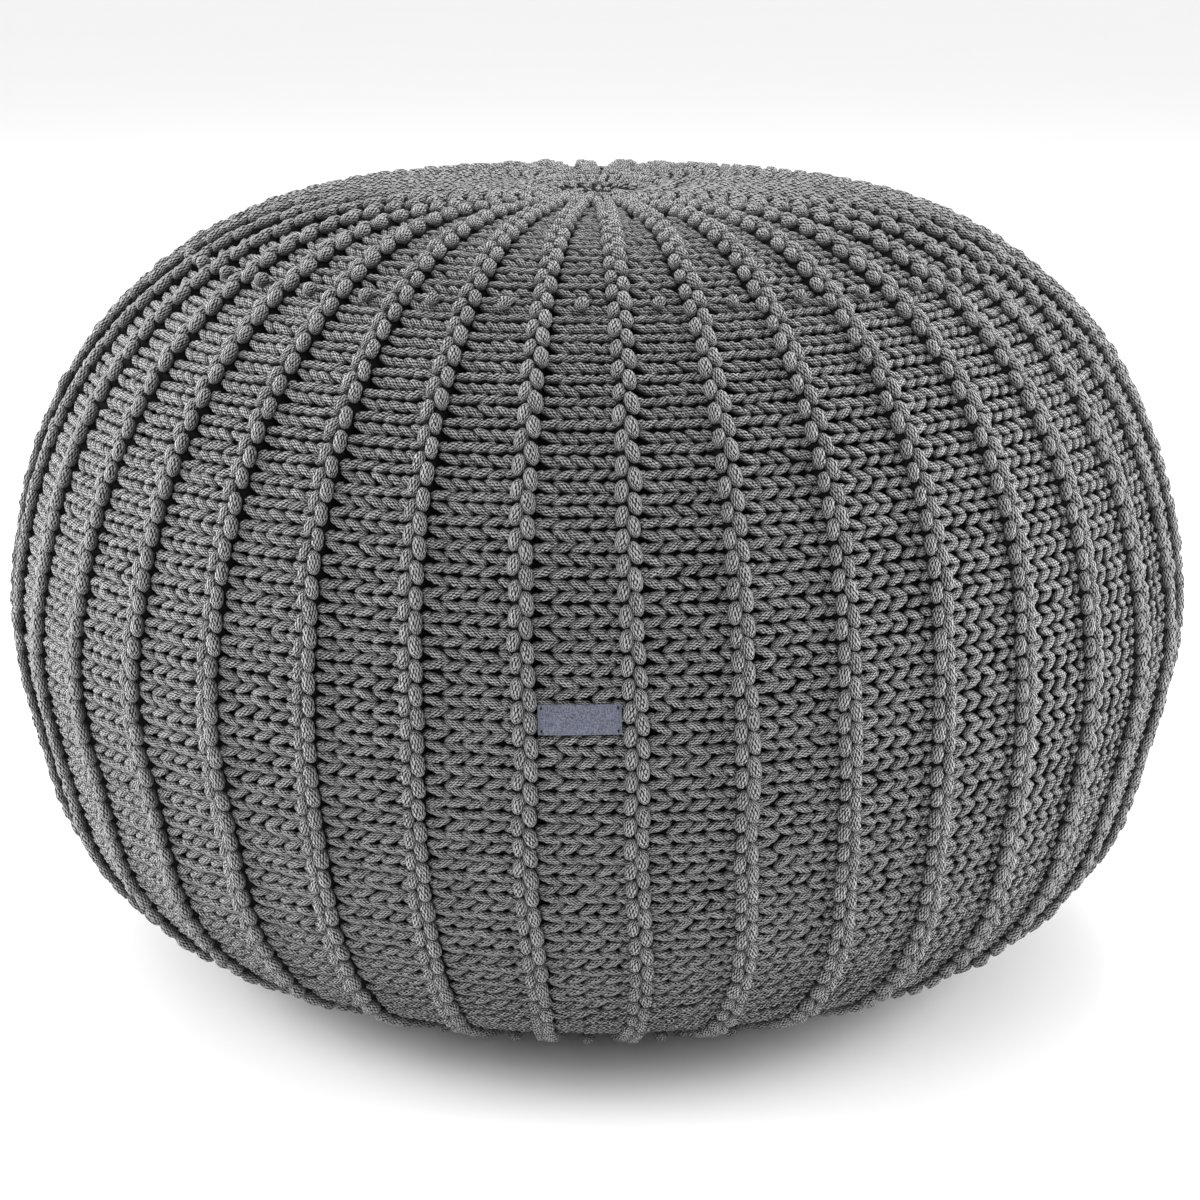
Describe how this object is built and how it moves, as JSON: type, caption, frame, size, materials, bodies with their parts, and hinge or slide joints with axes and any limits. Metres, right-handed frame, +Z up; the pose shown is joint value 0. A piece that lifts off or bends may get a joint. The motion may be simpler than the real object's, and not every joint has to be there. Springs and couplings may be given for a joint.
{
  "type": "knitted pouf",
  "caption": "Round knitted cord pouf, filled and ribbed from pole to pole, with a flat base to rest on and a small blank label sewn to its front.",
  "frame": {"origin": "centre of the flat resting spot, on the floor, under the middle of the pouf", "axes": "+Z up through both poles, -Y towards the front, where the label is, +X to the right seen from the front"},
  "size_m": [0.6002, 0.599, 0.3909],
  "materials": {
    "cotton_cord": "mid grey cotton cord, about 5 mm thick, with a fine knitted sheath, worked in stocking stitch panels and purl ribs",
    "felted_label": "flat felted label in a light blue grey, plain, with no lettering"
  },
  "bodies": {
    "root": {"knitted_pouf": "cotton_cord", "label": "felted_label"}
  },
  "joints": []
}
